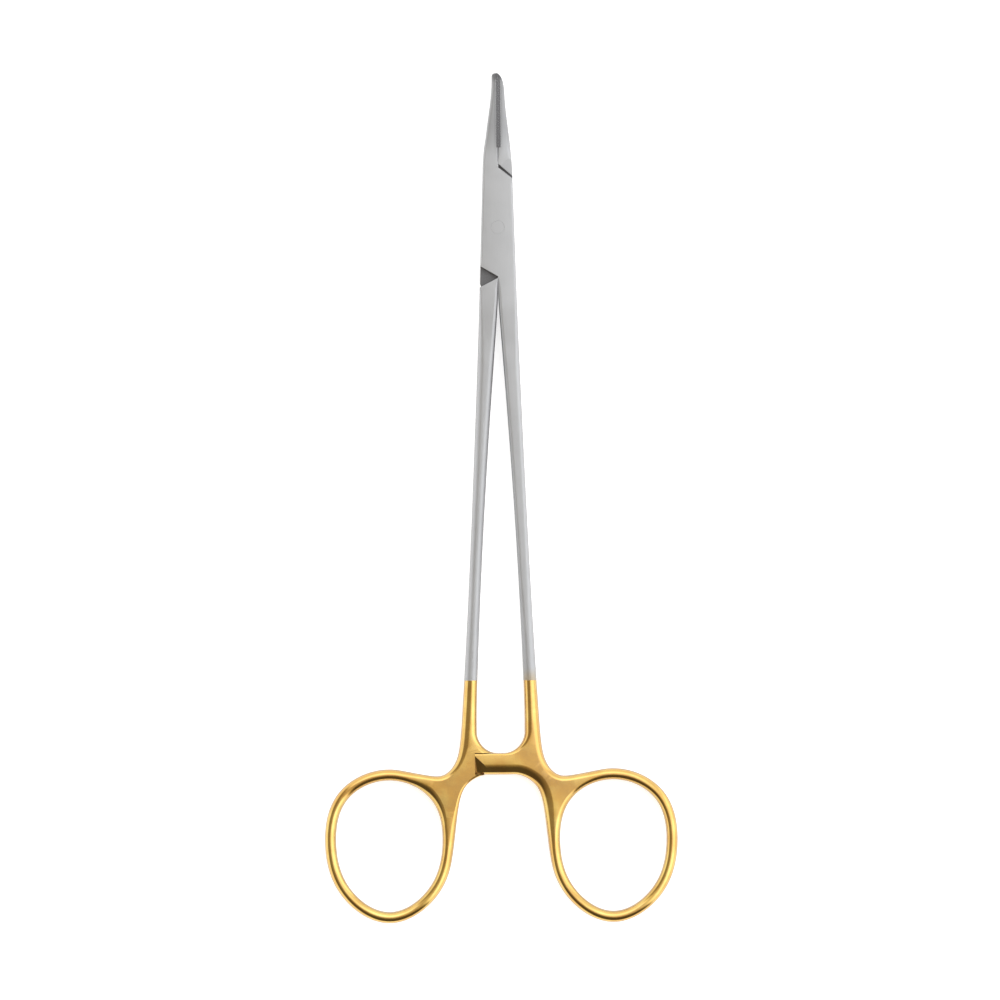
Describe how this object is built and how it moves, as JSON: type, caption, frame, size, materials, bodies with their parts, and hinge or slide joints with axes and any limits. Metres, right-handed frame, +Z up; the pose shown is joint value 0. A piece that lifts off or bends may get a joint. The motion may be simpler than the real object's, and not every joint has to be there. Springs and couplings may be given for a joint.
{
  "type": "surgical needle holder",
  "caption": "Straight ring-handled surgical needle holder with a box lock, a stepped ratchet, serrated hard metal jaw strips and gilt finger rings.",
  "frame": {"origin": "on the pivot axis, in the plane of the underside of the lock, which the instrument lies on", "axes": "+Y along the instrument from the finger rings to the tip of the jaws, +Z up through the pivot, +X to the right seen from above"},
  "size_m": [0.0748, 0.1801, 0.005],
  "materials": {
    "forged_steel": "satin, with the handles behind the shanks plated in polished gold",
    "pin_steel": "satin, ground flush",
    "hard_metal": "dull grey sintered hard metal"
  },
  "bodies": {
    "box_side": {"box_half": "forged_steel", "pivot_pin": "pin_steel", "box_jaw_insert": "hard_metal"},
    "tenon_side": {"tenon_half": "forged_steel", "tenon_jaw_insert": "hard_metal"}
  },
  "joints": [
    {"name": "lock_pivot", "type": "hinge", "parent": "box_side", "child": "tenon_side", "pos_m": [0, 0, 0.0025], "axis": [0, 0, -1], "range_deg": [0, 60]}
  ]
}
